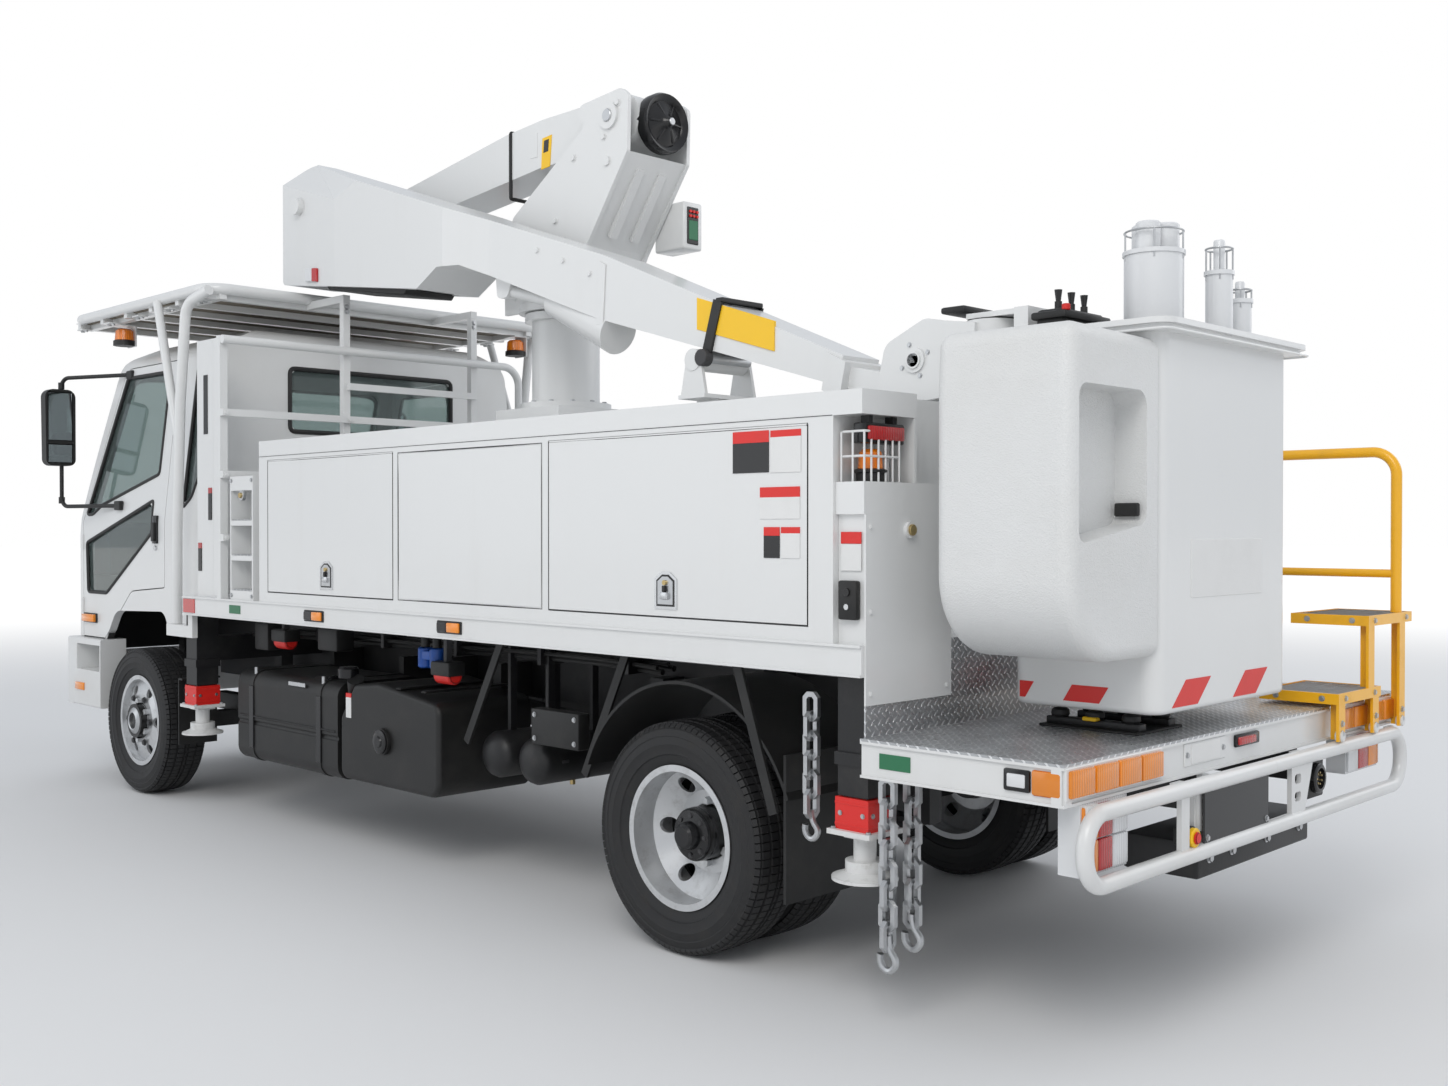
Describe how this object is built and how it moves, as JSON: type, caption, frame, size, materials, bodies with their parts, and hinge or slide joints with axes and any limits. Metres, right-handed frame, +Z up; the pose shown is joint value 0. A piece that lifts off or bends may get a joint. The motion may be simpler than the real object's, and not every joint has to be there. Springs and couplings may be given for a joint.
{
  "type": "cherry picker truck",
  "caption": "Cab-over truck with side lockers and a slewing, elbowed aerial device that carries a levelled work basket over its rear deck.",
  "frame": {"origin": "on the ground, under the middle of the vehicle's box", "axes": "+Z up, the front of the vehicle faces -Y, +X is the vehicle's left side"},
  "size_m": [2.5608, 7.3, 3.5874],
  "materials": {
    "white_paint": "gloss white enamel",
    "chassis_black": "satin black chassis paint",
    "spring_steel": "black painted spring steel",
    "bare_steel": "zinc plated chain steel",
    "engine_cast": "grey cast iron",
    "clear_glass": "tinted glass",
    "cab_trim": "dark grey moulded trim",
    "lamp_lens": "amber and red lenses",
    "black_plastic": "black moulded plastic",
    "grille_black": "gloss black",
    "chequer_plate": "chequered aluminium plate",
    "yellow_paint": "safety yellow enamel",
    "tyre_rubber": "black tyre rubber",
    "rim_silver": "silver wheel paint",
    "fibreglass": "white gel coat",
    "moulded_cover": "white textured moulding",
    "jack_red": "red warning paint",
    "canister_grey": "pale grey plastic"
  },
  "bodies": {
    "truck": {"chassis_frame": "chassis_black", "axles": "chassis_black", "leaf_springs": "spring_steel", "driveline": "engine_cast", "cab_shell": "white_paint", "cab_glazing": "clear_glass", "cab_interior": "cab_trim", "steering_wheel": "cab_trim", "front_bumper": "white_paint", "grille": "grille_black", "lamps": "lamp_lens", "mudguards": "black_plastic", "fuel_tank": "black_plastic", "hydraulic_tank": "black_plastic", "outrigger_sleeves": "chassis_black", "tray_frame": "white_paint", "lockers": "white_paint", "rear_deck": "white_paint", "deck_plate": "chequer_plate", "rear_column": "white_paint", "pedestal": "white_paint", "roof_rack": "white_paint", "guard_posts": "white_paint", "guard_bars": "white_paint", "rear_steps": "yellow_paint", "rear_bumper": "white_paint", "boom_rest": "white_paint", "chains": "bare_steel"},
    "cab_door_left": {"cab_door_left": "white_paint", "door_glass_left": "clear_glass", "mirror_left": "black_plastic"},
    "cab_door_right": {"cab_door_right": "white_paint", "door_glass_right": "clear_glass", "mirror_right": "black_plastic"},
    "locker_door_left_front": {"locker_door_left_front": "white_paint"},
    "locker_door_left_rear": {"locker_door_left_rear": "white_paint"},
    "locker_door_right_front": {"locker_door_right_front": "white_paint"},
    "locker_door_right_rear": {"locker_door_right_rear": "white_paint"},
    "knuckle_left": {"knuckle_left": "chassis_black"},
    "knuckle_right": {"knuckle_right": "chassis_black"},
    "front_wheel_left": {"front_rim_left": "rim_silver", "front_tyre_left": "tyre_rubber"},
    "front_wheel_right": {"front_rim_right": "rim_silver", "front_tyre_right": "tyre_rubber"},
    "rear_wheels_left": {"rear_rims_left": "rim_silver", "rear_tyres_left": "tyre_rubber"},
    "rear_wheels_right": {"rear_rims_right": "rim_silver", "rear_tyres_right": "tyre_rubber"},
    "outrigger_left_front": {"outrigger_leg_left_front": "jack_red"},
    "outrigger_left_rear": {"outrigger_leg_left_rear": "jack_red"},
    "outrigger_right_front": {"outrigger_leg_right_front": "jack_red"},
    "outrigger_right_rear": {"outrigger_leg_right_rear": "jack_red"},
    "turntable": {"turntable_head": "white_paint"},
    "lower_boom": {"lower_boom": "white_paint"},
    "elbow": {"elbow": "white_paint"},
    "upper_boom": {"upper_boom": "white_paint"},
    "boom_tip": {"tip_bracket": "white_paint"},
    "basket": {"basket": "fibreglass", "basket_cover": "moulded_cover", "tool_canisters": "canister_grey"}
  },
  "joints": [
    {"name": "steering_left", "type": "hinge", "parent": "truck", "child": "knuckle_left", "pos_m": [0.784, -2.56, 0.419], "axis": [0, 0, 1], "range_deg": [-32, 32]},
    {"name": "front_wheel_left_spin", "type": "hinge", "parent": "knuckle_left", "child": "front_wheel_left", "pos_m": [0.985, -2.56, 0.419], "axis": [1, 0, 0], "continuous": true},
    {"name": "rear_wheels_left_spin", "type": "hinge", "parent": "truck", "child": "rear_wheels_left", "pos_m": [0.985, 1.935, 0.419], "axis": [1, 0, 0], "continuous": true},
    {"name": "cab_door_left_hinge", "type": "hinge", "parent": "truck", "child": "cab_door_left", "pos_m": [1.054, -3.442, 1.25], "axis": [0, 0, -1], "range_deg": [0, 68]},
    {"name": "locker_door_left_front_hinge", "type": "hinge", "parent": "truck", "child": "locker_door_left_front", "pos_m": [1.21, -0.234, 1.849], "axis": [0, -1, 0], "range_deg": [0, 95]},
    {"name": "locker_door_left_rear_hinge", "type": "hinge", "parent": "truck", "child": "locker_door_left_rear", "pos_m": [1.21, 2.03, 1.849], "axis": [0, -1, 0], "range_deg": [0, 95]},
    {"name": "outrigger_left_front_slide", "type": "slide", "parent": "truck", "child": "outrigger_left_front", "axis": [0, 0, -1], "range_m": [0, 0.42]},
    {"name": "outrigger_left_rear_slide", "type": "slide", "parent": "truck", "child": "outrigger_left_rear", "axis": [0, 0, -1], "range_m": [0, 0.42]},
    {"name": "steering_right", "type": "hinge", "parent": "truck", "child": "knuckle_right", "pos_m": [-0.784, -2.56, 0.419], "axis": [0, 0, 1], "range_deg": [-32, 32]},
    {"name": "front_wheel_right_spin", "type": "hinge", "parent": "knuckle_right", "child": "front_wheel_right", "pos_m": [-0.985, -2.56, 0.419], "axis": [1, 0, 0], "continuous": true},
    {"name": "rear_wheels_right_spin", "type": "hinge", "parent": "truck", "child": "rear_wheels_right", "pos_m": [-0.985, 1.935, 0.419], "axis": [1, 0, 0], "continuous": true},
    {"name": "cab_door_right_hinge", "type": "hinge", "parent": "truck", "child": "cab_door_right", "pos_m": [-1.054, -3.442, 1.25], "axis": [0, 0, 1], "range_deg": [0, 68]},
    {"name": "locker_door_right_front_hinge", "type": "hinge", "parent": "truck", "child": "locker_door_right_front", "pos_m": [-1.21, -0.234, 1.849], "axis": [0, 1, 0], "range_deg": [0, 95]},
    {"name": "locker_door_right_rear_hinge", "type": "hinge", "parent": "truck", "child": "locker_door_right_rear", "pos_m": [-1.21, 2.03, 1.849], "axis": [0, 1, 0], "range_deg": [0, 95]},
    {"name": "outrigger_right_front_slide", "type": "slide", "parent": "truck", "child": "outrigger_right_front", "axis": [0, 0, -1], "range_m": [0, 0.42]},
    {"name": "outrigger_right_rear_slide", "type": "slide", "parent": "truck", "child": "outrigger_right_rear", "axis": [0, 0, -1], "range_m": [0, 0.42]},
    {"name": "lower_boom_lift", "type": "hinge", "parent": "turntable", "child": "lower_boom", "pos_m": [0, 0.56, 3.45], "axis": [-1, 0, 0], "range_deg": [0, 80]},
    {"name": "elbow_level", "type": "hinge", "parent": "lower_boom", "child": "elbow", "pos_m": [0, -1.545, 3.29], "axis": [-1, 0, 0], "range_deg": [-80, 0]},
    {"name": "upper_boom_luff", "type": "hinge", "parent": "elbow", "child": "upper_boom", "pos_m": [0.455, -1.545, 3.29], "axis": [1, 0, 0], "range_deg": [0, 80]},
    {"name": "boom_tip_level", "type": "hinge", "parent": "upper_boom", "child": "boom_tip", "pos_m": [0.455, 2.6, 2.112], "axis": [1, 0, 0], "range_deg": [-80, 0]},
    {"name": "turntable_slew", "type": "hinge", "parent": "truck", "child": "turntable", "pos_m": [0, -0.006, 2.6], "axis": [0, 0, -1], "range_deg": [0, 80]},
    {"name": "basket_rotate", "type": "hinge", "parent": "boom_tip", "child": "basket", "pos_m": [0.455, 2.85, 2.1], "axis": [0, 0, 1], "range_deg": [0, 90]}
  ],
  "couplings": [
    {"joint": "steering_right", "follows": "steering_left", "ratio": 1},
    {"joint": "elbow_level", "follows": "lower_boom_lift", "ratio": -1},
    {"joint": "boom_tip_level", "follows": "upper_boom_luff", "ratio": -1},
    {"joint": "turntable_slew", "follows": "upper_boom_luff", "ratio": 1},
    {"joint": "basket_rotate", "follows": "lower_boom_lift", "ratio": 1.125}
  ]
}
